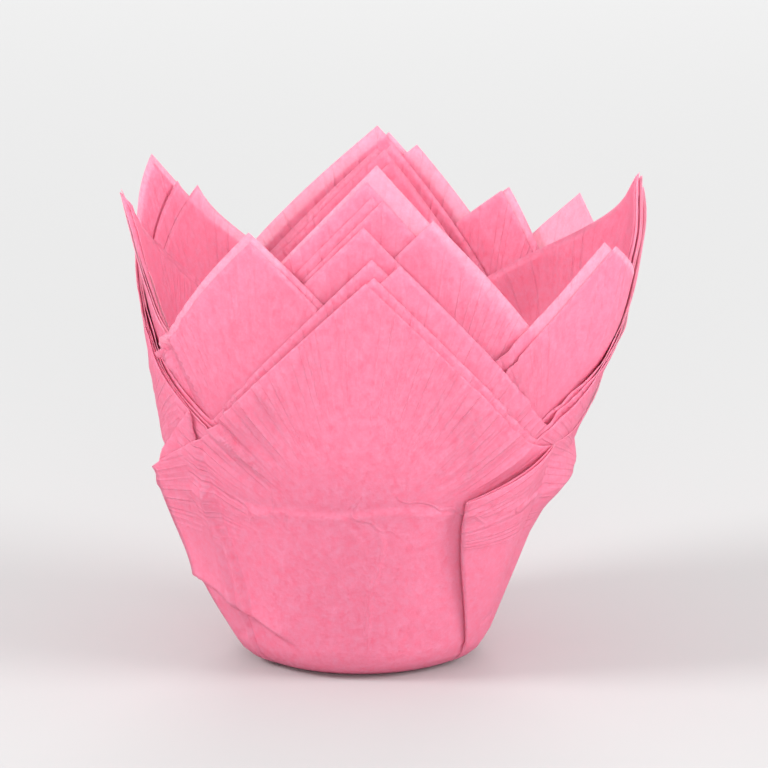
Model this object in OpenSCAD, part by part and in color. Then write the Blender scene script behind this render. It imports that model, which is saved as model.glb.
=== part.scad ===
// Nested tulip cupcake liners: twelve square sheets of greaseproof paper, pressed together into a cup.
// Azimuth runs from the front (-Y, 0 degrees) to the right (+X, 90 degrees). Lengths are millimetres.

/* [Paper] */
// Side of each square sheet
sheet_side = 160; // [154:1:166]
// Thickness of the paper
paper_t = 0.1; // [0.06:0.02:0.14]
// Clear space between one sheet and the next
nest_gap = 0.3; // [0.25:0.05:0.4]
// Further clear space between a sheet and a neighbour that was turned against it
turned_gap = 0.25; // [0.2:0.05:0.35]

/* [Base] */
// Diameter of the flat of the base
base_flat_d = 35; // [33:1:38]
// Radius of the innermost sheet's bend from base to wall
inner_bend_r = 1.8; // [1.4:0.2:2.2]

/* [Wall] */
// Lean of the lower wall from upright
lower_lean = 20; // [17:1:22]
// Height of the crease ring that the press leaves
crease_h = 35; // [33:1:37]
// Height at which the wall turns upright
shoulder_h = 44; // [42:0.5:45]
// Width of the cup at the shoulder
shoulder_d = 79; // [76:1:82]
// Height at which the mouth is measured
mouth_h = 110; // [106:1:118]
// Reach of the mouth to the left
mouth_left = 53.3; // [51.3:0.5:55.3]
// Reach of the mouth to the right
mouth_right = 55; // [53:0.5:57]
// Reach of the mouth to the front
mouth_front = 43.5; // [42:0.5:46]
// Reach of the mouth to the back
mouth_back = 46; // [44:0.5:48]
// How square the mouth is, where 2 is an ellipse
squareness = 2.8; // [2.4:0.1:3.4]
// Sideways drift of the cup's axis for each millimetre of height
axis_drift = 0.036; // [0:0.006:0.06]

/* [Right petals] */
// How far the outermost sheet stands off the plain cup at the crease ring
right_at_crease = 3.4; // [2.5:0.3:4]
// How far the sheets stand off the plain cup at the shoulder, the outermost the furthest
right_at_shoulder = 1; // [0.5:0.1:1.3]
// How far all of them stand off the plain cup at the mouth
right_at_mouth = 5; // [4:0.5:6]

/* [Flutes] */
// Depth of the flutes at the mouth, where petals meet
flute_depth = 0.9; // [0:0.1:1.2]
// How far the raw edge sinks below the sheet's half side between two petals
valley_drop = 12; // [11:0.5:13]
// How roundly the raw edge runs out of one petal into the next
valley_round = 8; // [6:0.5:9]

/* [Pleats] */
// Clear space between the layers of a folded pleat
fold_gap = 0.25; // [0.15:0.05:0.3]
// Height above the crease ring of the low corner where a pleat's fold meets the raw edge
fold_corner_rise = 2.5; // [2:0.5:4]
// How far a flap's fold stands off the outermost sheet at its top
flap_lift = 3.2; // [0:0.2:5]
// How far a flap's fold stands into the cup at its top
inner_flap_lift = 1; // [0:0.2:2]
// Width of a pleat at its foot
pleat_foot_w = 1.2; // [1:0.1:1.6]

/* [Hidden] */

paper_pink = [0.98, 0.55, 0.67];

// Each sheet as it went into the press, from the outermost inwards: its turn, its shift to the right and
// towards the back, and for its front, right, back and left petals how far the press pulled them round the
// cup, how much of their length is taken up by crumpling, and how far they lean round the cup.
PLACING = [
    [-3, 0, 5.0, [0.5, 38, 0, -27], [2, 6.2, 4.1, 0.8], [0, 0, -3, -8]],
    [-1, 0, 4.6, [0.5, 20, 1, -30], [1.8, 3.8, 2.8, 0.8], [0, 0, -3, -8]],
    [6, 0, 3.6, [0, 12, -16, -37], [1.4, 3.8, 6, 0.8], [0, 0, -3, -8]],
    [-1, -1.5, 3.0, [0.5, 18, 0, -31], [1.8, 2.3, 6.8, 1.8], [0, 0, -3, -8]],
    [-31, 1.5, 2.0, [-1, 7, -4, -5], [1.4, 8.3, 12.8, 6.4], [0, 0, -5, 0]],
    [-32, -0.5, 0.8, [-1, 5, -2, -11], [0.8, 5.2, 12, 9.8], [0, 0, -5, 0]],
    [-4, 0, -2.4, [0, 20, 0, -2], [3.3, 2.8, 2.3, 4.3], [0, 0, -3, 0]],
    [14, 0, -2.6, [1.5, 2, -14, -20], [3.1, 2.8, 3.8, 5.8], [0, 0, -3, 0]],
    [0, 0, -5.0, [1, 18, 0, -8], [2.7, 3.8, 2.3, 6], [0, 0, -3, 0]],
    [-2, 0, -5.2, [0, 20, 0, -6], [2.7, 4.8, 2.3, 6.2], [0, 0, -3, 0]],
    [-4, 0, -7.8, [0, 22, 0, -4], [2.8, 5.8, 2.3, 6.6], [0, 0, -3, 0]],
    [-1, 0, -10.6, [0, 21, 0, -10], [3, 6.3, 2.3, 7], [0, 0, -3, 0]]
];

// Folded pleats, all laid the same way round: the azimuths at the raw edge of the fold that shows and of
// the fold beneath it, and of both at the foot.
PLEATS = [[-80, -55, -66], [31, 60, 50], [138, 160, 149], [-163, -140, -152]];

radian = PI / 180;
quarter_turn = 90;
half_corner = 45;

sheet_count = len(PLACING);
// Turn between neighbours past which they sit looser
turned_from = 5;
pitch = paper_t + nest_gap;
layer_step = paper_t + fold_gap;
bend_r = inner_bend_r + inset_of(sheet_count - 1);
bend_sweep = quarter_turn - lower_lean;
flat_r = base_flat_d / 2;
foot_r = flat_r + bend_r * sin(bend_sweep);
foot_h = bend_r * (1 - cos(bend_sweep));
crease_r = foot_r + (crease_h - foot_h) * tan(lower_lean);

// Directions of the columns in each quarter, closer together where the petals meet and flutes run
quarter_columns = [0, 12, 24, 35, 45, 55, 66, 78];
flute_sign = [0, 0, 0, 1, -1, 1, 0, 0];
// Share of the flutes' depth at each ring
flute_share = [0, 0, 0, 0, 0.1, 0.2, 1];
// Height of the ring below which the outermost sheet lies close, as a share of the lower wall
low_share = 0.75;
// Azimuths between which the right petals stand off, and the widths over which they come away
right_from = 56;
right_to = 128;
right_rise = 16;
right_fall = 26;
// Nearest that a column of the lattice may come to a petal's tip
tip_clear = 0.8;
// Level between shoulder and mouth at which distances round the petals are measured, and their step
petal_level = 0.4;
round_step = 7.5;
// Places across a pleat's layer, as shares of its width
layer_shares = [0, 0.5, 1];
// Reach of a pleat's paper round the foot and round the flat, in degrees either side of its foot
foot_spread = 12;
flat_spread = 14;
// How far a pleat has opened and risen at the bend, as a share of its foot
open_at_bend = 0.4;
// How far a pleat has swung over, and how far it has cleared the sheet beneath, at the crease
swung_at_crease = 0.9;
clear_at_crease = 0.7;
// Room beside a pleat that holds no column of the lattice, and an azimuth past every column
pleat_margin = 4;
past_all = 200;
// Least cosine by which a corner of the sheet is stretched, and the least length that has a direction
least_cosine = 0.5;
tiny = 0.000001;

// Rings of the sheet from the base outwards
FLAT = 0;
BEND = 1;
FOOT = 2;
LOW = 3;
CREASE = 4;
SHOULDER = 5;
EDGE = 6;
ring_count = 7;

// How far a sheet lies inside the outermost
function inset_of(i) =
    i == 0 ? 0 :
    inset_of(i - 1) + pitch + (abs(PLACING[i][0] - PLACING[i - 1][0]) > turned_from ? turned_gap : 0);

function lerp(a, b, u) = a + (b - a) * u;
function wrap(a) = a - 360 * floor((a + 180) / 360);

// Radius of the squarish mouth in one direction
function mouth_r(az) =
    let(
        across = abs(sin(az)) / (sin(az) > 0 ? mouth_right : mouth_left),
        along = abs(cos(az)) / (cos(az) > 0 ? mouth_front : mouth_back)
    )
    pow(pow(across, squareness) + pow(along, squareness), -1 / squareness);

function eased(u) = let(v = min(1, max(0, u))) v * v * (3 - 2 * v);

// How far the right petals stand off the plain cup at a ring, in one direction
function stand_off(ring, az, inset) =
    let(a = wrap(az), here = eased((a - right_from) / right_rise) * eased((right_to - a) / right_fall))
    ring < CREASE ? 0 :
    ring == CREASE ? (inset == 0 ? right_at_crease * here : 0) :
    ring == SHOULDER ? right_at_shoulder * here * (1 - inset / inset_of(sheet_count - 1)) :
    right_at_mouth * here;

// Angle of the bend at a ring of the base
function bend_angle(ring) = ring == FLAT ? 0 : ring == BEND ? bend_sweep / 2 : bend_sweep;

// Radius of a ring in one direction, on the sheet that lies inset from the outermost
function round_r(ring, az, inset) =
    ring <= FOOT ? flat_r + (bend_r - inset) * sin(bend_angle(ring)) :
    stand_off(ring, az, inset) - inset +
        (ring == LOW ? lerp(foot_r, crease_r, low_share) :
        ring == CREASE ? crease_r :
        ring == SHOULDER ? shoulder_d / 2 :
        mouth_r(az));

// Height of a ring
function ring_h(ring, inset) =
    ring <= FOOT ? bend_r - (bend_r - inset) * cos(bend_angle(ring)) :
    ring == LOW ? lerp(foot_h, crease_h, low_share) :
    ring == CREASE ? crease_h :
    ring == SHOULDER ? shoulder_h :
    mouth_h;

// The two columns of the lattice on either side of a direction, each as azimuth and sign of its flute
function cell(az) =
    let(
        quarter = quarter_turn * floor(az / quarter_turn),
        last = max([for (c = [0:len(quarter_columns) - 1]) quarter_columns[c] <= az - quarter ? c : 0]),
        ended = last == len(quarter_columns) - 1
    )
    [
        [quarter + quarter_columns[last], flute_sign[last]],
        [quarter + (ended ? quarter_turn : quarter_columns[last + 1]), ended ? 0 : flute_sign[last + 1]]
    ];

// Radius of a ring where the sheet is flat between the columns of the lattice
function ring_r(ring, az, inset) =
    let(
        near = cell(az)[0],
        far = cell(az)[1],
        near_r = round_r(ring, near[0], inset) + flute_depth * flute_share[ring] * near[1],
        far_r = round_r(ring, far[0], inset) + flute_depth * flute_share[ring] * far[1]
    )
    near_r * far_r * sin(far[0] - near[0]) / (near_r * sin(az - near[0]) + far_r * sin(far[0] - az));

function ring_rz(ring, az, inset) = [ring_r(ring, az, inset), ring_h(ring, inset)];

// Length of paper from the middle of the base to a ring
function path_to(ring, az, inset) =
    ring <= FOOT ? flat_r + (bend_r - inset) * bend_angle(ring) * radian :
    path_to(ring - 1, az, inset) + norm(ring_rz(ring, az, inset) - ring_rz(ring - 1, az, inset));

// Radius and height on the wall at a length of paper from the middle
function wall_rz(az, path, inset) =
    let(
        crease = path_to(CREASE, az, inset),
        shoulder = path_to(SHOULDER, az, inset),
        mouth = path_to(EDGE, az, inset)
    )
    path < shoulder ?
        lerp(ring_rz(CREASE, az, inset), ring_rz(SHOULDER, az, inset),
            (path - crease) / (shoulder - crease)) :
        lerp(ring_rz(SHOULDER, az, inset), ring_rz(EDGE, az, inset),
            (path - shoulder) / (mouth - shoulder));

// Distance round the petals from the front to one direction, on a section between shoulder and mouth
function petal_xy(az) = lerp(shoulder_d / 2, mouth_r(az), petal_level) * [sin(az), cos(az)];
function chord(i) = norm(petal_xy((i + 1) * round_step) - petal_xy(i * round_step));
ROUND_SUMS = [for (i = 0, total = 0; i <= 540 / round_step; total = total + chord(i), i = i + 1) total];
function round_cup(az) =
    let(whole = floor(abs(az) / round_step))
    sign(az) * (ROUND_SUMS[whole] + (abs(az) / round_step - whole) * chord(whole));

// Petal tips of one sheet: azimuth, length of paper from the middle, and lean of the tip
function petals(i) =
    let(
        turn = PLACING[i][0],
        shift = [PLACING[i][1], PLACING[i][2]],
        pull = PLACING[i][3],
        taken_up = PLACING[i][4],
        lean = PLACING[i][5]
    )
    [for (k = [0:3])
        let(
            az = turn + quarter_turn * k,
            corner = shift + sheet_side / sqrt(2) * [sin(az), -cos(az)],
            seen = atan2(corner[0], -corner[1])
        )
        [wrap(seen + pull[k]), norm(corner) - taken_up[k], wrap(seen - az) + lean[k]]];

// Length of paper up to the raw edge of one petal in one direction
function petal_edge(petal, az) =
    let(
        gap = wrap(az - petal[0]),
        run = abs(round_cup(petal[0] + gap) - round_cup(petal[0])),
        slope = half_corner - sign(gap) * petal[2]
    )
    petal[1] - run / tan(slope);

// Length of paper up to the raw edge in one direction: the petals, running into one another in a round valley
function raw_edge(tips, az) =
    let(
        line = max([for (petal = tips) petal_edge(petal, az)]),
        low = sheet_side / 2 - valley_drop
    )
    (line + low + norm([line - low, valley_round])) / 2;

// One column: azimuth and outward lift at each ring, and the length of paper to its raw edge
function plain_column(az, edge) =
    [[for (ring = [0:ring_count - 1]) az], [for (ring = [0:ring_count - 1]) 0], edge];

function lattice() =
    [for (quarter = [0:3], c = quarter_columns) wrap(quarter_turn * quarter + c)];

// The lattice without the columns that a petal's tip stands on, and the tips
function plain_columns(tips) =
    [for (az = lattice()) if (min([for (petal = tips) abs(wrap(az - petal[0]))]) > tip_clear)
            plain_column(az, raw_edge(tips, az)),
        for (petal = tips) plain_column(petal[0], raw_edge(tips, petal[0]))];

// Sorts columns by azimuth at the crease
function by_azimuth(columns) =
    len(columns) < 2 ? columns :
    let(
        middle = columns[floor(len(columns) / 2)][0][CREASE],
        before = [for (c = columns) if (c[0][CREASE] < middle) c],
        same = [for (c = columns) if (c[0][CREASE] == middle) c],
        after = [for (c = columns) if (c[0][CREASE] > middle) c]
    )
    concat(by_azimuth(before), same, by_azimuth(after));

// Columns of one folded pleat: the layer beneath runs to the hidden fold, the middle one comes back to the
// fold that shows, and the top one runs on over both. side is 1 outwards and -1 inwards.
function pleat_columns(tips, pleat, inset, side) =
    let(
        shown = pleat[0],
        hidden = pleat[1],
        foot = pleat[2],
        foot_half = pleat_foot_w / 2 / foot_r / radian,
        corner = path_to(CREASE, foot, inset) + fold_corner_rise,
        under = raw_edge(tips, hidden),
        clear = flute_depth / 2 + layer_step / 2,
        steps = len(layer_shares) * 3
    )
    [for (layer = [0:2], n = [0:len(layer_shares) - 1])
        let(
            share = layer == 1 ? 1 - layer_shares[n] : layer_shares[n],
            top_az = lerp(shown, hidden, share),
            foot_az = lerp(
                foot - (layer == 0 ? foot_spread : foot_half),
                foot + (layer == 2 ? foot_spread : foot_half),
                share),
            flat_az = foot + flat_spread * (2 * (layer * len(layer_shares) + n) / (steps - 1) - 1),
            edge = layer == 0 ? raw_edge(tips, top_az) : lerp(corner, under, share),
            height = side * (layer * layer_step),
            lift = side > 0 ? flap_lift : -inner_flap_lift,
            stand = layer == 0 ? 0 : lift * (1 - share) * (1 - share),
            top_height = side * clear + height + stand,
            crease_az = lerp(foot_az, top_az, swung_at_crease),
            crease_height = side * clear * clear_at_crease + height + stand * swung_at_crease
        )
        [
            [flat_az, lerp(flat_az, foot_az, open_at_bend), foot_az, lerp(foot_az, crease_az, low_share),
                crease_az, top_az, top_az],
            [0, height * open_at_bend, height, lerp(height, crease_height, low_share),
                crease_height, top_height, top_height],
            edge
        ]];

// Whether a direction is clear of every pleat
function clear_of_pleats(az, pleats) =
    len([for (p = pleats) if (az > p[0] - pleat_margin && az < p[1] + pleat_margin) 1]) == 0;

function sheet_columns(i) =
    let(
        tips = petals(i),
        plain = by_azimuth(plain_columns(tips)),
        inset = inset_of(i),
        side = i == 0 ? 1 : -1,
        pleats = i == 0 || i == sheet_count - 1 ? PLEATS : [],
        kept = [for (c = plain) if (clear_of_pleats(c[0][CREASE], pleats)) c],
        starts = concat([-past_all], [for (p = by_start(pleats)) p[0]], [past_all])
    )
    len(pleats) == 0 ? plain :
    [for (n = [0:len(starts) - 2])
        each concat(
            n == 0 ? [] : pleat_columns(tips, by_start(pleats)[n - 1], inset, side),
            [for (c = kept) if (c[0][CREASE] > starts[n] && c[0][CREASE] < starts[n + 1]) c]
        )];

function by_start(pleats) =
    len(pleats) < 2 ? pleats :
    let(first = pleats[0])
    concat(
        by_start([for (p = pleats) if (p[0] < first[0]) p]),
        [first],
        by_start([for (p = pleats) if (p[0] > first[0]) p])
    );

// Middle of the paper at one column and ring
function column_point(column, ring, inset) =
    let(
        az = column[0][ring],
        rz = ring == EDGE ? wall_rz(az, column[2], inset) : ring_rz(ring, az, inset),
        r = rz[0] + column[1][ring]
    )
    [r * sin(az) + axis_drift * rz[1], -r * cos(az), rz[1] + paper_t / 2];

// Level direction square to the sheet at one column of a ring, and stretched at a fold
function outward(line, j) =
    let(
        n = len(line),
        before = flat_unit(line[j] - line[(j + n - 1) % n]),
        after = flat_unit(line[(j + 1) % n] - line[j]),
        side_a = [before[1], -before[0]],
        side_b = [after[1], -after[0]],
        middle = flat_unit(side_a + side_b)
    )
    middle / max(least_cosine, middle * side_a);
function flat_unit(v) = let(w = [v[0], v[1]]) w / max(norm(w), tiny);

function offset_line(line, reach) =
    [for (j = [0:len(line) - 1]) let(o = outward(line, j)) line[j] + reach * [o[0], o[1], 0]];

// Splits each four-sided patch in two, leaving out what has no area
function patch(a, b, c, d) =
    concat(a == b || b == c || a == c ? [] : [[a, b, c]], a == c || c == d || a == d ? [] : [[a, c, d]]);

module pressed_sheet(i) {
    inset = inset_of(i);
    columns = sheet_columns(i);
    n = len(columns);
    lines = [for (ring = [0:ring_count - 1]) [for (c = columns) column_point(c, ring, inset)]];
    outer = [for (ring = [0:ring_count - 1])
        ring == FLAT ? [for (p = lines[ring]) p - [0, 0, paper_t / 2]] : offset_line(lines[ring], paper_t / 2)];
    inner = [for (ring = [0:ring_count - 1])
        ring == FLAT ? [for (p = lines[ring]) p + [0, 0, paper_t / 2]] : offset_line(lines[ring], -paper_t / 2)];
    points = concat([for (line = outer) each line], [for (line = inner) each line],
        [[0, 0, inset], [0, 0, inset + paper_t]]);
    skin = n * ring_count;
    under_middle = 2 * skin;
    over_middle = under_middle + 1;
    // The shoulder is left out of a column whose raw edge is lower, and the low ring of all but the outermost
    cut = [for (c = columns) path_to(SHOULDER, c[0][EDGE], inset) > c[2] - paper_t];
    function at(j, ring) =
        let(k = j % n) (ring == SHOULDER && cut[k] ? EDGE : ring == LOW && i > 0 ? FOOT : ring) * n + k;
    faces = [
        for (j = [0:n - 1]) [under_middle, at(j, FLAT), at(j + 1, FLAT)],
        for (j = [0:n - 1]) [over_middle, skin + at(j + 1, FLAT), skin + at(j, FLAT)],
        for (j = [0:n - 1], ring = [0:EDGE - 1])
            each patch(at(j, ring), at(j, ring + 1), at(j + 1, ring + 1), at(j + 1, ring)),
        for (j = [0:n - 1], ring = [0:EDGE - 1])
            each [for (f = patch(at(j, ring), at(j, ring + 1), at(j + 1, ring + 1), at(j + 1, ring)))
                [skin + f[2], skin + f[1], skin + f[0]]],
        for (j = [0:n - 1])
            each patch(at(j, EDGE), skin + at(j, EDGE), skin + at(j + 1, EDGE), at(j + 1, EDGE))
    ];
    polyhedron(points, faces, convexity = 12);
}

module outer_liner() {
    color(paper_pink) pressed_sheet(0);
}

module liner_02() {
    color(paper_pink) pressed_sheet(1);
}

module liner_03() {
    color(paper_pink) pressed_sheet(2);
}

module liner_04() {
    color(paper_pink) pressed_sheet(3);
}

module liner_05() {
    color(paper_pink) pressed_sheet(4);
}

module liner_06() {
    color(paper_pink) pressed_sheet(5);
}

module liner_07() {
    color(paper_pink) pressed_sheet(6);
}

module liner_08() {
    color(paper_pink) pressed_sheet(7);
}

module liner_09() {
    color(paper_pink) pressed_sheet(8);
}

module liner_10() {
    color(paper_pink) pressed_sheet(9);
}

module liner_11() {
    color(paper_pink) pressed_sheet(10);
}

module inner_liner() {
    color(paper_pink) pressed_sheet(11);
}

outer_liner();
liner_02();
liner_03();
liner_04();
liner_05();
liner_06();
liner_07();
liner_08();
liner_09();
liner_10();
liner_11();
inner_liner();
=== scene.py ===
"""Nest of tulip cupcake liners: twelve square sheets of pink greaseproof paper, pressed into one cup.

Lengths in the shape functions are millimetres and angles are degrees. Azimuth runs from the front
(-Y, 0 degrees) to the right (+X, 90 degrees). Petals count 0 front, 1 right, 2 back and 3 left.
"""

import math

import bpy
import numpy as np
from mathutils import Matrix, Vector


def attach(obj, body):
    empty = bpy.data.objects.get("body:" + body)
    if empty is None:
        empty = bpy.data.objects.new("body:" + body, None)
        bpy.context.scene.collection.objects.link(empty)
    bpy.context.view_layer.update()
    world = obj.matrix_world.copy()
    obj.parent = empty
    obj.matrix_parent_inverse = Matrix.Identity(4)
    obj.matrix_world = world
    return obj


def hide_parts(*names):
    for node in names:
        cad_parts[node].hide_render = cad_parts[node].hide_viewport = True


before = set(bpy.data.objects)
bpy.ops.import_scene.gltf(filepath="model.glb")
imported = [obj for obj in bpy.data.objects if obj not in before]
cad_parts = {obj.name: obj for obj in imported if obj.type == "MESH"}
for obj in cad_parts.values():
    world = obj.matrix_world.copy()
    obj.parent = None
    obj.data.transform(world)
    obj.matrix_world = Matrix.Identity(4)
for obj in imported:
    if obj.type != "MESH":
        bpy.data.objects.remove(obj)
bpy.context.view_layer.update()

MM = 0.001

# Camera

PHOTO_PX = 768
PX_PER_MM = 5.28
CAMERA_RISE = 15
CAMERA_DISTANCE = 3000
AIM = Vector((4.5, 0, 51.8))
CLIP = (0.05, 20)


def place_camera():
    rise = math.radians(CAMERA_RISE)
    back = Vector((0, -math.cos(rise), math.sin(rise)))
    bpy.ops.object.camera_add()
    camera = bpy.context.object
    camera.name = "photo_camera"
    camera.location = (AIM + back * CAMERA_DISTANCE) * MM
    camera.rotation_mode = "QUATERNION"
    camera.rotation_quaternion = (-back).to_track_quat("-Z", "Y")
    camera.data.lens = camera.data.sensor_width * CAMERA_DISTANCE / (PHOTO_PX / PX_PER_MM)
    camera.data.clip_start, camera.data.clip_end = CLIP
    bpy.context.scene.camera = camera


place_camera()

# Sizes of the cup, as in the solids

SHEET_SIDE = 160.0
PAPER_T = 0.1
NEST_GAP = 0.3
TURNED_GAP = 0.25
TURNED_FROM = 5
FLAT_R = 17.5
INNER_BEND_R = 1.8
LOWER_LEAN = 20
LOWER_SLOPE = math.tan(math.radians(LOWER_LEAN))
BEND_SWEEP = math.radians(90 - LOWER_LEAN)
CREASE_H = 35.0
CREASE_ROUND = 1.5
SHOULDER_H = 44.0
SHOULDER_ROUND = 9.0
SHOULDER_R = 39.5
MOUTH_H = 110.0
MOUTH_LEFT = 53.3
MOUTH_RIGHT = 55.0
MOUTH_FRONT = 43.5
MOUTH_BACK = 46.0
SQUARENESS = 2.8
AXIS_DRIFT = 0.036
VALLEY_DROP = 12.0
VALLEY_ROUND = 8.0
PETAL_LEVEL = 0.4
LAYER_STEP = 0.35

# Each sheet from the outermost inwards: its node, turn, shift to the right and to the back, and for its
# front, right, back and left petals how far the press pulled it round the cup, how much of its length is
# taken up by crumpling, how far its tip flares outwards, and how far it leans round the cup
SHEETS = [
    ("outer_liner", -3, 0, 5.0, ((0.5, 2, 0, 0), (38, 6.2, 0, 0), (0, 4.1, 0, -3), (-27, 0.8, 1, -8))),
    ("liner_02", -1, 0, 4.6, ((0.5, 1.8, 0, 0), (20, 3.8, 2, 0), (1, 2.8, 0, -3), (-30, 0.8, 1, -8))),
    ("liner_03", 6, 0, 3.6, ((0, 1.4, 0, 0), (12, 3.8, 2, 0), (-16, 6, 0, -3), (-37, 0.8, 1, -8))),
    ("liner_04", -1, -1.5, 3.0, ((0.5, 1.8, 0, 0), (18, 2.3, 2, 0), (0, 6.8, 0, -3), (-31, 1.8, 2, -8))),
    ("liner_05", -31, 1.5, 2.0, ((-2, 0.2, 0, 0), (7, 7.3, 0, 0), (-4, 12.8, 0, -5), (-5, 6.4, 0, 0))),
    ("liner_06", -32, -0.5, 0.8, ((-1, 0.8, 0, 0), (5, 5.2, 0, 0), (-2, 12, 0, -5), (-11, 9.8, 0, 0))),
    ("liner_07", -4, 0, -2.4, ((0, 3.3, 0, 0), (20, 2.8, 1.5, 0), (0, 2.3, 0, -3), (-2, 4.3, 2, 0))),
    ("liner_08", 14, 0, -2.6, ((1.5, 3.1, 0, 0), (2, 2.8, 1.5, 0), (-14, 3.8, 0, -3), (-20, 5.8, 2, 0))),
    ("liner_09", 0, 0, -5.0, ((1, 2.7, 0, 0), (18, 3.8, 1.5, 0), (0, 2.3, 0, -3), (-8, 6, 3, 0))),
    ("liner_10", -2, 0, -5.2, ((0, 2.7, 0, 0), (20, 4.8, 1.5, 0), (0, 2.3, 0, -3), (-6, 6.2, 3, 0))),
    ("liner_11", -4, 0, -7.8, ((0, 2.8, 0, 0), (22, 5.8, 1.5, 0), (0, 2.3, 0, -3), (-4, 6.6, 3, 0))),
    ("inner_liner", -1, 0, -10.6, ((0, 3, 0, 0), (21, 6.3, 1.5, 0), (0, 2.3, 0, -3), (-10, 7, 3, 0))),
]
LAST = len(SHEETS) - 1

# Raw edges that don't fall at 45 degrees: sheets, petal, side of the tip, fall for each mm round the cup,
# and how far and how soon the edge drops at the tip
FLANKS = [
    ((4, 5), 1, 1, 0.75, 0, 1),
    ((6, 7, 8, 9, 10, 11), 1, 1, 0.65, 6, 5),
    ((4, 5), 3, -1, 0.9, 3, 2),
    ((4, 5), 3, 1, 0.72, 0, 1),
    ((6, 7, 8, 9, 10, 11), 3, -1, 0.8, 4, 1.5),
]

# Folded pleats: azimuths at the raw edge of the fold that shows and of the fold beneath it, azimuth of both
# at the foot, how far the fold that shows and the middle of the flap stand off at the top, and the columns
# in each layer
PLEATS = [
    (-163, -140, -152, 2.6, 0, 10),
    (-80, -55, -66, 3.8, 0, 10),
    (29.5, 60, 52, 1.3, 1.8, 26),
    (138, 160, 149, 2.6, 0, 10),
]


def inset_of(i):
    if i == 0:
        return 0.0
    turned = abs(SHEETS[i][1] - SHEETS[i - 1][1]) > TURNED_FROM
    return inset_of(i - 1) + PAPER_T + NEST_GAP + (TURNED_GAP if turned else 0)


BEND_R = INNER_BEND_R + inset_of(LAST)
FOOT_R = FLAT_R + BEND_R * math.sin(BEND_SWEEP)
FOOT_H = BEND_R * (1 - math.cos(BEND_SWEEP))
CREASE_R = FOOT_R + (CREASE_H - FOOT_H) * LOWER_SLOPE


def wrap(az):
    return (np.asarray(az, float) + 180) % 360 - 180


def smooth(x):
    x = np.clip(x, 0, 1)
    return x * x * (3 - 2 * x)


def soft_ramp(x, width):
    return (x + np.sqrt(x * x + width * width)) / 2


def between(x, low, high, rise, fall):
    """1 between two limits, with a soft rise inside the lower one and a soft fall inside the upper one."""
    return smooth((x - low) / rise) * smooth((high - x) / fall)


def mouth_r(az):
    rad = np.radians(az)
    across = np.abs(np.sin(rad)) / np.where(np.sin(rad) > 0, MOUTH_RIGHT, MOUTH_LEFT)
    along = np.abs(np.cos(rad)) / np.where(np.cos(rad) > 0, MOUTH_FRONT, MOUTH_BACK)
    return (across**SQUARENESS + along**SQUARENESS) ** (-1 / SQUARENESS)


def cup_r(az, z):
    """Radius of the outermost sheet at a height: cone, crease ring, shoulder and flared mouth."""
    middle_slope = (SHOULDER_R - CREASE_R) / (SHOULDER_H - CREASE_H)
    upper_slope = (mouth_r(az) - SHOULDER_R) / (MOUTH_H - SHOULDER_H)

    def raw(h):
        return (
            LOWER_SLOPE * h
            + (middle_slope - LOWER_SLOPE) * soft_ramp(h - CREASE_H, CREASE_ROUND)
            - (middle_slope - upper_slope) * soft_ramp(h - SHOULDER_H, SHOULDER_ROUND)
        )

    return FOOT_R + raw(z) - raw(FOOT_H)


def lengths_round(az):
    """Distance round the cup, at the petals' level, from the first azimuth to each."""
    r = SHOULDER_R + (mouth_r(az) - SHOULDER_R) * PETAL_LEVEL
    steps = np.hypot(np.diff(r * np.sin(np.radians(az))), np.diff(r * np.cos(np.radians(az))))
    return np.concatenate([[0], np.cumsum(steps)])


ROUND_AZ = np.arange(-270, 271, 1.0)
ROUND_LENGTH = lengths_round(ROUND_AZ)


def round_cup(az):
    return np.interp(az, ROUND_AZ, ROUND_LENGTH)


def petals(i):
    """Tips of one sheet: azimuth, length of paper from the middle, lean of the tip, and its odd flanks."""
    _, turn, right, back, shapes = SHEETS[i]
    tips = []
    for k, (pull, taken_up, _, oblique) in enumerate(shapes):
        az = math.radians(turn + 90 * k)
        x = right + SHEET_SIDE / math.sqrt(2) * math.sin(az)
        y = back - SHEET_SIDE / math.sqrt(2) * math.cos(az)
        seen = math.degrees(math.atan2(x, -y))
        lean = float(wrap(seen - turn - 90 * k)) + oblique
        flanks = [row[2:] for row in FLANKS if i in row[0] and k == row[1]]
        tips.append((float(wrap(seen + pull)), math.hypot(x, y) - taken_up, lean, flanks))
    return tips


def raw_edge(tips, az):
    """Length of paper from the middle of the base up to the raw edge."""
    edge = np.full(np.shape(az), -SHEET_SIDE)
    for tip_az, length, lean, flanks in tips:
        gap = wrap(az - tip_az)
        run = np.abs(round_cup(tip_az + gap) - round_cup(tip_az))
        fall = run / np.tan(np.radians(45 - np.sign(gap) * lean))
        for side, steepness, drop, drop_run in flanks:
            own_fall = steepness * run + drop * (1 - np.exp(-run / drop_run))
            fall = np.where(gap * side > 0, own_fall, fall)
        edge = np.maximum(edge, length - fall)
    low = SHEET_SIDE / 2 - VALLEY_DROP
    return low + soft_ramp(edge - low, VALLEY_ROUND)


HEIGHTS = np.arange(0, MOUTH_H + 21, 1.0)


def height_at(az, length, inset):
    """Height on the wall at a length of paper from the middle."""
    az = np.asarray(az, float)
    z = FOOT_H + HEIGHTS[:, None]
    r = cup_r(az[None, :], z)
    rise = np.hypot(np.diff(r, axis=0), 1.0)
    path = FLAT_R + (BEND_R - inset) * BEND_SWEEP + np.vstack([np.zeros(len(az)), np.cumsum(rise, axis=0)])
    return np.array([np.interp(length[j], path[:, j], z[:, 0]) for j in range(len(az))])


# How the paper departs from the plain cup


def ridge(x, width):
    return 1 / (1 + (x / width) ** 2)


# Sheets turned by about 31 degrees
TURNED = (4, 5)

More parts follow.
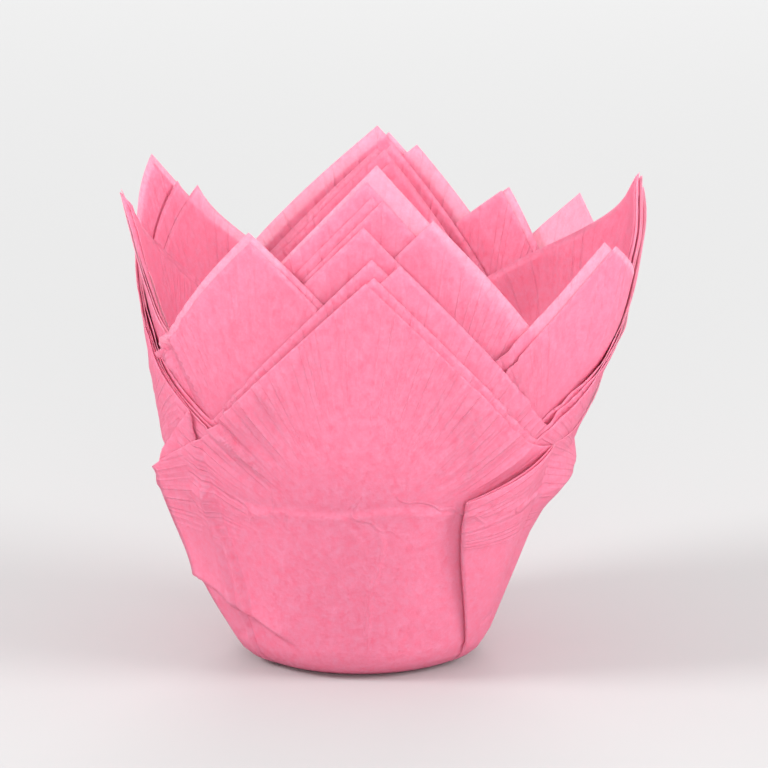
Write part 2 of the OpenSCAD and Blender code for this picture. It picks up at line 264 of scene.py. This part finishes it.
# A petal's gathers fan out from a point at this height on a cup of this radius, between these directions,
# and as far round the cup as this azimuth from the tip
FAN_H = 27
FAN_R = 40
FIRST_GATHER = 12
LAST_GATHER = 64
FAN_REACH = 58

# How strong the gathers are, and how far round the cup from the front they begin to calm down
OUTER_GATHERS = (1.2, 56)
TURNED_GATHERS = (1.4, 70)
OTHER_GATHERS = (0.6, 56)

# Where the flap of the outer sheet's front pleat begins, which has weaker gathers
FLAP_FROM = 27


def fan_direction(offset, z):
    """Direction from the foot of a petal's fan, for an azimuth away from its tip and a height."""
    return np.degrees(np.arctan2(np.radians(offset) * FAN_R, np.maximum(z - FAN_H, 0.1)))


def fans(i, az, z, below, tips):
    """Gathers that run down from the raw edges towards each petal's base, most beside the valleys."""
    rng = np.random.default_rng(40 + i)
    lift = np.zeros(np.broadcast(az, z).shape)
    for tip_az, _, _, _ in tips:
        offset = wrap(az - tip_az)
        spread = fan_direction(offset, z)
        owned = smooth((FAN_REACH - np.abs(offset)) / 12) * (z > FAN_H)
        for side in (-1, 1):
            at = FIRST_GATHER + rng.uniform(0, 3)
            while at < LAST_GATHER:
                size = rng.uniform(0.5, 1.5) * (1 if rng.random() < 0.75 else -0.6)
                size *= 0.1 + 0.9 * smooth((at - 18) / 16)
                width = rng.uniform(1.1, 1.9)
                length = rng.uniform(12, 28)
                wander = rng.uniform(0.3, 0.9) * np.sin(below / rng.uniform(5, 9) + rng.uniform(0, 6))
                shape = np.exp(-(((spread - side * at + wander) / width) ** 2))
                lift += size * shape * owned * (1 - smooth(below / length - 0.2))
                at += rng.uniform(2.4, 4.6)
    if i == 0:
        strength, calm_from = OUTER_GATHERS
        lift *= 1 - 0.5 * smooth((az - FLAP_FROM) / 6)
    else:
        strength, calm_from = TURNED_GATHERS if i in TURNED else OTHER_GATHERS
    return lift * strength * (1 - 0.85 * smooth((np.abs(az) - calm_from) / 14))


# Windows round the cup or up it: the two limits, and how far it takes to rise and fall inside them
WAVY_SIDE = (48, 130, 20, 20)
WAVY_HEIGHTS = (42, 76, 8, 14)
RIGHT_SIDE = (56, 128, 16, 26)
LEFT_SIDE = (-140, -50, 30, 24)
SIDE_TOGETHER = (64, 138, 18, 16)
SIDE_PRESSED = (-160, -52, 14, 20)

# Waves in a raw edge: their lengths, their size, and how far below the edge they reach
WAVE_LENGTHS = (6.0, 9.0, 15.0)
WAVE_SIZE = 0.025
WAVE_DEPTH = 4


def waves(i, az, z, below):
    """Raw edges that wander in and out at both sides of the cup."""
    rng = np.random.default_rng(90 + i)
    lift = np.zeros(np.broadcast(az, z).shape)
    for length in WAVE_LENGTHS:
        lift += WAVE_SIZE * length**0.6 * np.sin(2 * math.pi * (z / length + rng.random() + az / 70))
    fade = np.exp(-np.clip(below, 0, None) / WAVE_DEPTH)
    return lift * between(np.abs(az), *WAVY_SIDE) * between(z, *WAVY_HEIGHTS) * fade


# Height above which petals lean
FLARE_H = 50


def flare(i, az, z, tips, tip_heights):
    """Petals that lean outwards or inwards towards their tips."""
    lift = np.zeros(np.broadcast(az, z).shape)
    for (tip_az, _, _, _), top, (_, _, reach, _) in zip(tips, tip_heights, SHEETS[i][4]):
        if reach:
            window = np.cos(np.radians(np.clip(wrap(az - tip_az) * 1.8, -90, 90))) ** 2
            lift += reach * window * np.clip((z - FLARE_H) / (top - FLARE_H), 0, 1.2) ** 2
    return lift


# How far the outermost sheet stands off the plain cup at its right and left sides, as height and distance,
# and the share of the right distance that each sheet has where the sheets are apart
RIGHT_OUT = [
    (24, 0), (29, 0.8), (31, 1.6), (33, 2.7), (35, 3.4), (37.5, 3.3), (40, 1.9), (42, 0.9),
    (45, 1.1), (50, 1.9), (56, 2.4), (60, 3.2), (64, 3.6), (70, 3.6), (78, 3.2), (90, 3.4),
]
LEFT_OUT = [(36, 0), (40, 0.6), (43, 0.9), (48, 0.3), (54, 0), (64, -0.5), (82, -0.6), (90, -0.3)]
SHARE_OUT = [1.0, 1.03, 1.13, 1.2, 1.05, 1.07, 0.44, 0.56, 0.68, 0.72, 0.765, 0.82]

# Distance from sheet to sheet where they lie against each other
TIGHT_STEP = 0.25


def stand_off(i, az, z):
    """Side petals that stand off the plain cup. Above the right crease the sheets lie together."""
    right = np.interp(z, *zip(*RIGHT_OUT)) * between(az, *RIGHT_SIDE)
    left = np.interp(z, *zip(*LEFT_OUT)) * between(az, *LEFT_SIDE)
    held = 1 if i == 0 else smooth((z - 39) / 6)
    if 1 <= i <= max(TURNED):
        held = held * (1 - 0.5 * smooth((z - 68) / 14))
    together = between(az, *SIDE_TOGETHER) * smooth((z - 50) / 10) * (1 - 0.6 * smooth((z - 78) / 12))
    outwards = inset_of(i) - TIGHT_STEP * i
    right = right * (SHARE_OUT[i] * held * (1 - together) + together) + outwards * together
    return right + left * (1 if i == 0 else 0.9)


def pressed(i, az, z):
    """Sheets that lie against each other at the left and behind it."""
    return TIGHT_STEP * i * between(az, *SIDE_PRESSED) * smooth((z - 46) / 14)


def crease_ring(az, z):
    wander = 0.5 * np.sin(np.radians(az * 5 + 40)) + 0.3 * np.sin(np.radians(az * 11))
    return 0.22 * ridge(z - CREASE_H - wander, 0.6) - 0.18 * ridge(z - CREASE_H - wander - 1.6, 0.8)


# Creases of the outer sheet: places as azimuth and height, height of the crest or depth of the furrow, its
# half width, and how far the paper stays raised to its left, or to its right where less than 0
CREASES = [
    ([(2.7, 34.0), (5.7, 29.4), (4.4, 23.0), (2.4, 18.0), (2.1, 9.4), (3.8, 4.0)], 0.21, 0.45, 0),
    ([(-7.3, 33.6), (-2.8, 30.3), (1.3, 26.4)], 0.15, 0.5, 0),
    ([(-84, 17.5), (-63.2, 14.9), (-42.5, 9.9), (-27, 6.0)], 1.5, 0.45, 3.5),
    ([(-52.8, 8.5), (-64, 5.5)], -0.2, 0.4, 0),
    ([(-86, 36.2), (-75.9, 32.6), (-64, 32.0), (-56, 30.0)], 0.25, 0.5, 0),
    ([(-58.4, 33.4), (-40, 33.0), (-28, 35.0)], 0.175, 0.5, 0),
    ([(-50, 36.5), (-41, 34.0), (-33, 33.2)], 0.15, 0.45, 0),
    ([(53.2, 9.3), (63.0, 10.5)], -0.25, 0.6, 0),
    ([(56, 6.6), (49.6, 4.6), (38, 4.2)], -0.25, 0.6, 0),
    ([(-54.0, 40.0), (-53.8, 32.1), (-51.7, 25.1), (-49.3, 16.1), (-47.0, 9.0)], 1.8, 0.5, -5.5),
    ([(58.0, 62.0), (52.0, 50.0), (46.0, 44.0)], 0.15, 0.6, 0),
]

# Radius at which distances to a crease are measured, and how far from it the paper can be raised
CREASED_R = 34
CREASE_REACH = 16


def creases(az, z):
    """Hand creases of the outer sheet, each fading out at its ends."""
    lift = np.zeros(np.broadcast(az, z).shape)
    x, y = np.radians(az) * CREASED_R, z
    for places, crest, width, side in CREASES:
        ends = np.array([(math.radians(a) * CREASED_R, h) for a, h in places])
        lengths = np.hypot(*np.diff(ends, axis=0).T)
        total, run = lengths.sum(), 0.0
        nearest = np.full(lift.shape, np.inf)
        along = np.zeros(lift.shape)
        beside = np.zeros(lift.shape)
        for (ax, ay), (bx, by), length in zip(ends, ends[1:], lengths):
            dx, dy = (bx - ax) / length, (by - ay) / length
            s = np.clip((x - ax) * dx + (y - ay) * dy, 0, length)
            px, py = x - ax - s * dx, y - ay - s * dy
            off = np.hypot(px, py)
            closer = off < nearest
            nearest = np.where(closer, off, nearest)
            along = np.where(closer, run + s, along)
            beside = np.where(closer, dx * py - dy * px, beside)
            run += length
        shape = np.exp(-((nearest / width) ** 2))
        if side:
            out = beside * np.sign(side)
            shape = smooth(out / width / 2 + 0.5) * np.exp(-np.clip(out, 0, None) / abs(side))
        lift += crest * shape * between(along / total, 0, 1, 1 / 6, 1 / 5) * (nearest < CREASE_REACH)
    return lift


def own_shape(i, az, z, below, tips, tip_heights):
    """How far a sheet would stand off the plain cup with no other sheet round it."""
    plain = flare(i, az, z, tips, tip_heights) + stand_off(i, az, z) + pressed(i, az, z)
    pressed_in = crease_ring(az, z) + (creases(az, z) if i == 0 else 0)
    return plain + pressed_in + waves(i, az, z, below) + fans(i, az, z, below, tips)


# Points of a map of the cup, by azimuth and height, and the step and a bit that keeps a place inside it
GRID_AZ = np.arange(-180, 181, 1.0)
GRID_Z = np.arange(FOOT_H, 125, 0.8)
INSIDE = 1.001


def from_grid(values, az, z):
    """Reads a map of the cup between its points."""
    a = np.clip((az - GRID_AZ[0]) / (GRID_AZ[1] - GRID_AZ[0]), 0, len(GRID_AZ) - INSIDE)
    h = np.clip((z - GRID_Z[0]) / (GRID_Z[1] - GRID_Z[0]), 0, len(GRID_Z) - INSIDE)
    ia, ih = a.astype(int), h.astype(int)
    fa, fh = a - ia, h - ih
    low = values[ia, ih] * (1 - fa) + values[ia + 1, ih] * fa
    high = values[ia, ih + 1] * (1 - fa) + values[ia + 1, ih + 1] * fa
    return low * (1 - fh) + high * fh


# How far two curves are rounded where they cross
HELD_ROUND = 0.1


def held_in(own, cap):
    """The smaller of the two, rounded where they cross."""
    return (own + cap - np.hypot(own - cap, HELD_ROUND)) / 2


# One sheet


def plain_azimuths(tips, count, closer):
    """Steps between the tips, finer in front, so that each tip stands on a column."""
    at = np.arange(-540.0, 540.0, 1.0)
    weight = 1 + (closer - 1) * smooth((100 - np.abs(wrap(at))) / 20)
    reached = np.cumsum(weight)
    turn = np.interp(180, at, reached) - np.interp(-180, at, reached)
    stops = sorted(t[0] for t in tips)
    stops.append(stops[0] + 360)
    azimuths = []
    for start, end in zip(stops, stops[1:]):
        low, high = np.interp([start, end], at, reached)
        n = max(8, round(count * (high - low) / turn))
        stations = np.linspace(low, high, n, endpoint=False)
        azimuths += [float(wrap(a)) for a in np.interp(stations, reached, at)]
    return sorted(azimuths)


def owner(tips, az):
    """The petal whose paper shows at a direction of a pleated sheet: the one between two pleats."""
    pleat = [p for p in PLEATS if p[0] <= az]
    start = (pleat[-1] if pleat else PLEATS[-1])[0]
    return [min(tips, key=lambda tip: (tip[0] - start) % 360)]


# How many times closer the columns stand in front, on the outermost sheet and on the others
OUTER_CLOSER = 2.2
INNER_CLOSER = 1.3

# Half angles of a pleat: of its fold at the foot, of its outer layers at the foot, and on the flat base
FOLD_HALF = 1.4
LAYER_HALF = 12
FLAT_HALF = 14

# How far above the crease ring a pleat's fold begins
FOLD_CORNER_RISE = 2.5

# How far a pleat's layers stand off their sheet, the share of the stand at the top that each layer has, and
# that stand at the innermost sheet
PLEAT_LIFT = 0.3
LAYER_STAND = (0, 0.75, 1)
INNER_FOLD = 1.0


def sheet_columns(i, tips, count):
    """Lines up the sheet from the middle of its base to its raw edge, in order round the sheet.

    Each has its azimuth on the flat base, at the foot and at the top, how far its layer and its fold stand
    off, and its length of paper. Pleats, in the outermost and the innermost sheet, have three layers.
    """
    pleats = PLEATS if i in (0, LAST) else []
    side, closer = (1, OUTER_CLOSER) if i == 0 else (-1, INNER_CLOSER)
    columns = []
    fold_height = CREASE_H + FOLD_CORNER_RISE - FOOT_H
    corner = FLAT_R + BEND_R * BEND_SWEEP + fold_height / math.cos(math.radians(LOWER_LEAN))
    rounds = [(a, None) for a in plain_azimuths(tips, count, closer)]
    rounds = [r for r in rounds if not any(p[0] - 1 < r[0] < p[1] + 1 for p in pleats)]
    rounds = sorted(rounds + [(p[0], p) for p in pleats], key=lambda r: r[0])

    def edge_at(az, petal_tips):
        return float(raw_edge(petal_tips, np.array([az]))[0])

    for az, pleat in rounds:
        if pleat is None:
            columns.append((az, az, az, 0, 0, edge_at(az, owner(tips, az) if pleats else tips)))
            continue
        shown, hidden, foot, at_fold, at_middle, steps = pleat
        before, after = owner(tips, shown - 1), owner(tips, hidden + 1)
        for layer in range(3):
            for n in range(steps):
                share = n / (steps - 1)
                share = 1 - share if layer == 1 else share
                top = shown + (hidden - shown) * share
                start = foot - (LAYER_HALF if layer == 0 else FOLD_HALF)
                end = foot + (LAYER_HALF if layer == 2 else FOLD_HALF)
                at_foot = start + (end - start) * share
                at_flat = foot + FLAT_HALF * (2 * (layer * steps + n) / (3 * steps - 1) - 1)
                if layer == 0:
                    edge = edge_at(top, before)
                else:
                    edge = corner + (edge_at(hidden, before if layer == 1 else after) - corner) * share
                lift = side * (layer * LAYER_STEP + PLEAT_LIFT)
                stand = (at_fold if side > 0 else INNER_FOLD) * (1 - share) ** 2
                stand += at_middle * 4 * share * (1 - share)
                stand *= side * LAYER_STAND[layer]
                columns.append((at_flat, at_foot, top, lift, stand, edge))
    return np.array(columns, float).T


# Rows of points, as shares of the flat base and of the bend round it, and how they crowd up the wall
FLAT_ROWS = [0, 0.35, 0.7, 1.0]
BEND_ROWS = [0.25, 0.5, 0.75]
WALL_CROWDING = 0.9

# How soon a pleat opens from its foot towards the crease ring
OPENING = 1.7

# How much nearer than its gap the next sheet may come, and how much further out it may stand for each mm
# above a raw edge
NEARER = 0.2
PAST_EDGE = 1.2


def heights_of_tips(tips, inset):
    return height_at([tip[0] for tip in tips], [tip[1] for tip in tips], inset)


def sheet_points(i, count, rows, cap):
    """Places of a grid of points, rows by columns."""
    tips = petals(i)
    inset = inset_of(i)
    flat, foot, top, lift, stand, edge = sheet_columns(i, tips, count)
    tip_heights = heights_of_tips(tips, inset)
    z_edge = height_at(top, edge, inset)
    lines = []
    for share in FLAT_ROWS:
        lines.append((flat, np.full(len(flat), FLAT_R * share), np.full(len(flat), inset)))
    for share in BEND_ROWS:
        angle = BEND_SWEEP * share
        az = flat + (foot - flat) * share
        r = FLAT_R + (BEND_R - inset) * math.sin(angle) + lift * share
        z = BEND_R - (BEND_R - inset) * math.cos(angle)
        lines.append((az, r, np.full(len(flat), z)))
    for share in np.linspace(0, 1, rows) ** WALL_CROWDING:
        z = FOOT_H + (z_edge - FOOT_H) * share
        grown = np.clip((z - FOOT_H) / (CREASE_H - FOOT_H), 0, 1)
        opened = 1 - (1 - grown) ** OPENING
        az = foot + (top - foot) * opened
        own = own_shape(i, az, z, z_edge - z, tips, tip_heights)
        depart = own if cap is None else held_in(own, from_grid(cap, wrap(az), z))
        r = cup_r(az, z) - inset + depart + lift + stand * opened
        lines.append((az, r, z))
    az = np.radians(np.array([line[0] for line in lines]))
    r = np.array([line[1] for line in lines])
    z = np.array([line[2] for line in lines]) + PAPER_T / 2
    return np.stack([r * np.sin(az) + AXIS_DRIFT * z, -r * np.cos(az), z], axis=-1) * MM


def cap_inside(i, cap):
    """The map that holds in the next sheet, from the map that holds in this one."""
    tips = petals(i)
    inset = inset_of(i)
    grid_az, grid_z = np.meshgrid(GRID_AZ, GRID_Z, indexing="ij")
    bare = height_at(GRID_AZ, raw_edge(tips, GRID_AZ), inset)[:, None]
    below = np.clip(bare - grid_z, 0, None)
    own = own_shape(i, grid_az, grid_z, below, tips, heights_of_tips(tips, inset))
    held = own if cap is None else held_in(own, cap)
    return held + NEARER + PAST_EDGE * np.clip(grid_z - bare, 0, None)


def fan_places(i, places, above, corners):
    """Where each face corner lies in its petal's fan: tens of degrees, and centimetres to the raw edge."""
    x, y, z = places.T / MM
    az = np.degrees(np.arctan2(x - AXIS_DRIFT * z, -y))
    offsets = np.array([wrap(az - tip[0]) for tip in petals(i)])
    nearest = np.argmin(np.abs(offsets), axis=0)
    petal = np.repeat(nearest[corners[::4]], 4)
    direction = fan_direction(offsets[petal, corners], z[corners]) / 10 + 20 * petal + 90 * i
    return np.stack([direction, above[corners] / MM / 10], axis=-1)


def deselect():
    bpy.ops.object.select_all(action="DESELECT")


def press_sheet(i, count, rows, cap):
    """Adds a flat grid, rolls and presses it into the cup, joins its seam and gives it its thickness."""
    name = SHEETS[i][0]
    points = sheet_points(i, count, rows, cap)
    n_rows, n_columns = points.shape[:2]
    deselect()
    bpy.ops.mesh.primitive_grid_add(x_subdivisions=n_columns, y_subdivisions=n_rows - 1, size=1)
    sheet = bpy.context.object
    sheet.name = sheet.data.name = "pressed_" + name
    flat = np.empty(len(sheet.data.vertices) * 3)
    sheet.data.vertices.foreach_get("co", flat)
    flat = flat.reshape(-1, 3)
    column = np.rint((flat[:, 0] + 0.5) * n_columns).astype(int) % n_columns
    row = np.rint((flat[:, 1] + 0.5) * (n_rows - 1)).astype(int)
    sheet.data.vertices.foreach_set("co", points[row, column].ravel())
    corners = np.empty(len(sheet.data.loops), dtype=np.int32)
    sheet.data.loops.foreach_get("vertex_index", corners)
    above = (points[-1, :, 2] - points[:, :, 2])[row, column]
    fan = fan_places(i, points[row, column], above, corners)
    sheet.data.uv_layers.active.data.foreach_set("uv", fan.ravel())
    sheet.data.update()
    bpy.ops.object.mode_set(mode="EDIT")
    bpy.ops.mesh.select_all(action="SELECT")
    bpy.ops.mesh.remove_doubles(threshold=0.000002)
    bpy.ops.mesh.select_all(action="SELECT")
    bpy.ops.mesh.flip_normals()
    bpy.ops.object.mode_set(mode="OBJECT")
    paper = sheet.modifiers.new("paper", "SOLIDIFY")
    paper.thickness = PAPER_T * MM
    paper.offset = 0
    bpy.ops.object.modifier_apply(modifier=paper.name)
    bpy.ops.object.shade_smooth()
    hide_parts(name)
    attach(sheet, "root")
    return sheet


# Finishes


class Socket:
    """An output socket that takes part in sums."""

    def __init__(self, maker, socket):
        self.maker = maker
        self.socket = socket

    def _math(self, operation, *values):
        return self.maker.node("ShaderNodeMath", {"operation": operation}, dict(enumerate(values)))

    def __add__(self, other):
        return self._math("ADD", self, other)

    def __mul__(self, other):
        return self._math("MULTIPLY", self, other)

    def __sub__(self, other):
        return self._math("SUBTRACT", self, other)


class Finish:
    """A material and the nodes in it."""

    def __init__(self, name):
        self.material = bpy.data.materials.new(name)
        self.material.use_nodes = True
        self.tree = self.material.node_tree
        self.tree.nodes.clear()

    def node(self, kind, settings=None, values=None, output=0):
        made = self.tree.nodes.new(kind)
        for key, value in (settings or {}).items():
            if key == "stops":
                ramp = made.color_ramp
                while len(ramp.elements) < len(value):
                    ramp.elements.new(0.5)
                for element, (position, colour) in zip(ramp.elements, value):
                    element.position = position
                    element.color = (*colour, 1)
            else:
                setattr(made, key, value)
        for key, value in (values or {}).items():
            if isinstance(value, Socket):
                self.tree.links.new(value.socket, made.inputs[key])
            elif isinstance(value, tuple) and len(value) == 3 and made.inputs[key].type == "RGBA":
                made.inputs[key].default_value = (*value, 1)
            else:
                made.inputs[key].default_value = value
        return Socket(self, made.outputs[output]) if made.outputs else None

    def noise(self, vector, scale, detail, roughness=0.5):
        values = {"Vector": vector, "Scale": scale, "Detail": detail, "Roughness": roughness}
        return self.node("ShaderNodeTexNoise", values=values)

    def stretched(self, vector, scale):
        return self.node("ShaderNodeMapping", values={"Vector": vector, "Scale": scale})

    def fade(self, value, full, gone):
        """1 up to one value and 0 from another."""
        return self.node("ShaderNodeMapRange", values={0: value, 1: full, 2: gone, 3: 1.0, 4: 0.0})

    def near(self, value, middle, full, gone):
        """1 near a middle and 0 away from it."""
        off = self.node("ShaderNodeMath", {"operation": "ABSOLUTE"}, {0: value - middle})
        return self.fade(off, full, gone)

    def bump(self, height, strength, distance, **below):
        values = {"Strength": strength, "Distance": distance, "Height": height}
        return self.node("ShaderNodeBump", values={**values, **below})

    def surface(self, shader):
        self.node("ShaderNodeOutputMaterial", values={"Surface": shader})


DEEP_PINK = (0.98, 0.195, 0.325)
PALE_PINK = (1.0, 0.365, 0.53)
THROUGH_PINK = (1.0, 0.88, 0.95)
SHARE_THROUGH = 0.47
FLOOR_GREY = (0.53, 0.53, 0.53)

# Middle of the creased band round the cup, in metres
RING_H = 0.0355


def greaseproof():
    """Mottled pink paper that lets light through, gathered at the raw edges and creased round the ring."""
    finish = Finish("pink_greaseproof_paper")
    place = finish.node("ShaderNodeTexCoord", output="Object")
    fan = finish.node("ShaderNodeTexCoord", output="UV")
    height = finish.node("ShaderNodeSeparateXYZ", values={"Vector": place}, output=2)
    to_edge = finish.node("ShaderNodeSeparateXYZ", values={"Vector": fan}, output=1)
    cloud = finish.noise(place, scale=700.0, detail=3.0, roughness=0.65)
    fibre = finish.noise(place, scale=1900.0, detail=2.0, roughness=0.6)
    mottle = cloud * 0.55 + fibre * 0.45
    folds = finish.noise(finish.stretched(fan, (6.0, 0.3, 1.0)), scale=1.0, detail=3.0)
    lines = finish.noise(finish.stretched(fan, (3.2, 0.07, 1.0)), scale=1.0, detail=0.5)
    lines = finish.near(lines, 0.5, full=0.0, gone=0.05)
    gathers = (folds + lines * 0.35) * finish.fade(to_edge, full=0.6, gone=3.0)
    branches = finish.near(finish.noise(place, scale=75.0, detail=2.0), 0.5, full=0.0, gone=0.025)
    gathers = gathers + branches * finish.near(height, RING_H, full=0.0015, gone=0.005) * 0.5
    stops = [(0.34, DEEP_PINK), (0.66, PALE_PINK)]
    colour = finish.node("ShaderNodeValToRGB", {"stops": stops}, {"Fac": mottle})
    bump = finish.bump(mottle, strength=0.3, distance=0.00012)
    bump = finish.bump(gathers, strength=0.65, distance=0.0005, Normal=bump)
    paper = finish.node(
        "ShaderNodeBsdfPrincipled",
        values={"Base Color": colour, "Roughness": 0.55, "Specular IOR Level": 0.35, "Normal": bump},
    )
    through = finish.node("ShaderNodeBsdfTranslucent", values={"Color": THROUGH_PINK, "Normal": bump})
    finish.surface(finish.node("ShaderNodeMixShader", values={0: SHARE_THROUGH, 1: paper, 2: through}))
    return finish.material


def pale_floor():
    finish = Finish("pale_floor")
    finish.surface(finish.node("ShaderNodeBsdfDiffuse", values={"Color": FLOOR_GREY}))
    return finish.material


# The nest

# Columns round a sheet, pleats not counted, and rows up its wall
OUTER_GRID = (330, 106)
INNER_GRID = (300, 46)

paper_finish = greaseproof()
cap = None
for i in range(len(SHEETS)):
    count, rows = OUTER_GRID if i == 0 else INNER_GRID
    sheet = press_sheet(i, count, rows, cap)
    sheet.data.materials.clear()
    sheet.data.materials.append(paper_finish)
    cap = cap_inside(i, cap)

# Floor and light, in metres and watts

FLOOR_SIDE = 8
FLOOR_Z = -0.0002
LIT_HEIGHT = 0.05
WORLD_STRENGTH = 0.8

# Each lamp's name, place, width and power
LAMPS = [
    ("left_softbox", (-1.0, -0.35, 0.8), 0.45, 10),
    ("right_softbox", (1.0, -0.4, 0.6), 0.6, 9),
    ("front_softbox", (0.1, -1.3, 0.14), 0.9, 9),
    ("back_softbox", (0.1, 1.3, 0.4), 0.8, 10.5),
]


def lay_floor():
    deselect()
    bpy.ops.mesh.primitive_plane_add(size=FLOOR_SIDE)
    floor = bpy.context.object
    floor.name = "floor"
    floor.location.z = FLOOR_Z
    floor.data.materials.append(pale_floor())


def hang_lamp(name, place, size, power):
    bpy.ops.object.light_add(type="AREA")
    light = bpy.context.object
    light.name = name
    light.location = place
    light.rotation_mode = "QUATERNION"
    light.rotation_quaternion = (Vector((0, 0, LIT_HEIGHT)) - Vector(place)).to_track_quat("-Z", "Y")
    light.data.shape = "DISK"
    light.data.size = size
    light.data.energy = power


def light_world():
    world = bpy.context.scene.world or bpy.data.worlds.new("studio")
    bpy.context.scene.world = world
    world.use_nodes = True
    world.node_tree.nodes.clear()
    sky = world.node_tree.nodes.new("ShaderNodeBackground")
    sky.inputs["Color"].default_value = (1, 1, 1, 1)
    sky.inputs["Strength"].default_value = WORLD_STRENGTH
    out = world.node_tree.nodes.new("ShaderNodeOutputWorld")
    world.node_tree.links.new(sky.outputs[0], out.inputs[0])


lay_floor()
for row in LAMPS:
    hang_lamp(*row)
light_world()
bpy.context.scene.view_settings.view_transform = "Standard"
